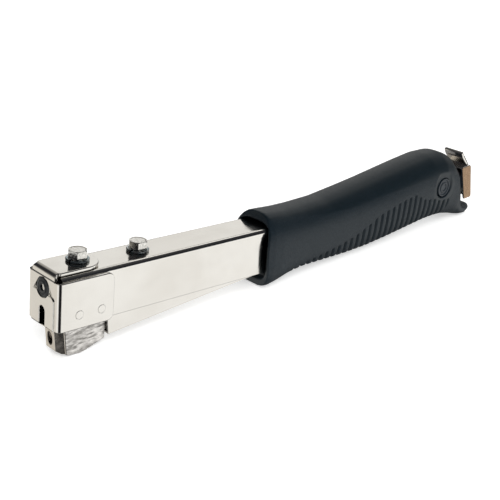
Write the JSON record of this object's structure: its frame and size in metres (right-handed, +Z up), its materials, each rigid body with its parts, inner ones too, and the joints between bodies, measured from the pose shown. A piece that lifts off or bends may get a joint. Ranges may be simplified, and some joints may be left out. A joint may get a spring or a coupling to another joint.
{
  "type": "hammer tacker",
  "caption": "Swing-type staple gun: chromed steel channel body with a folded head cap, moulded grip, pivoting staple magazine with a spring pusher, and a rear latch.",
  "frame": {"origin": "centre of the bounding box at the surface that the tool rests on, standing on the rear edge of its nose and the heel of its grip", "axes": "+X from the striking head back to the rear latch, +Y across the tool, +Z up"},
  "size_m": [0.3054, 0.0308, 0.0467],
  "materials": {
    "chrome_plate": "bright chrome plate on folded sheet steel",
    "hardened_steel": "hardened steel, lightly oiled",
    "zinc_plate": "bright zinc plate with a faint blue tone",
    "blackened_steel": "blackened steel, satin",
    "ground_steel": "rough ground steel",
    "moulded_grip": "dark blue-grey moulded grip, satin above and grained below",
    "moulded_plastic": "dark moulded plastic"
  },
  "bodies": {
    "tool_body": {"upper_channel": "chrome_plate", "head_cap": "chrome_plate", "cap_rivet_left_front": "chrome_plate", "cap_rivet_left_rear": "chrome_plate", "cap_rivet_right_front": "chrome_plate", "cap_rivet_right_rear": "chrome_plate", "cap_bolt_front": "zinc_plate", "cap_bolt_rear": "zinc_plate", "lock_washer_front": "zinc_plate", "lock_washer_rear": "zinc_plate", "spring_nut": "hardened_steel", "return_spring": "hardened_steel", "driver_blade": "hardened_steel", "driver_block": "hardened_steel", "driver_screw": "blackened_steel", "grip": "moulded_grip", "pivot_pin_left": "hardened_steel", "pivot_pin_right": "hardened_steel", "pivot_cap_left": "moulded_plastic", "pivot_cap_right": "moulded_plastic"},
    "magazine": {"magazine_channel": "chrome_plate", "staple_rail": "hardened_steel", "nose_block": "ground_steel", "nose_plate": "hardened_steel"},
    "pusher_assembly": {"pusher_rod": "hardened_steel", "pusher_end_block": "moulded_plastic", "latch_pin": "hardened_steel", "pusher_spring": "hardened_steel"},
    "follower": {"staple_pusher": "moulded_plastic"},
    "latch": {"end_latch": "chrome_plate"}
  },
  "joints": [
    {"name": "magazine_swing", "type": "hinge", "parent": "tool_body", "child": "magazine", "pos_m": [0.1136, 0, 0.02593], "axis": [0, 1, 0], "range_deg": [0, 3.2], "stiffness_Nm_per_rad": 12, "springref_deg": -20.05, "deforming": ["return_spring"]},
    {"name": "pusher_draw", "type": "slide", "parent": "magazine", "child": "pusher_assembly", "axis": [0.9993, 0, 0.0386], "range_m": [0, 0.12]},
    {"name": "follower_slide", "type": "slide", "parent": "pusher_assembly", "child": "follower", "axis": [0.9993, 0, 0.0386], "range_m": [0, 0.1], "stiffness_N_per_m": 25, "springref_m": -0.1, "deforming": ["pusher_spring"]},
    {"name": "latch_swing", "type": "hinge", "parent": "pusher_assembly", "child": "latch", "pos_m": [0.14425, 0, 0.02078], "axis": [0, 1, 0], "range_deg": [0, 10], "stiffness_Nm_per_rad": 0.05, "springref_deg": -17.19}
  ]
}
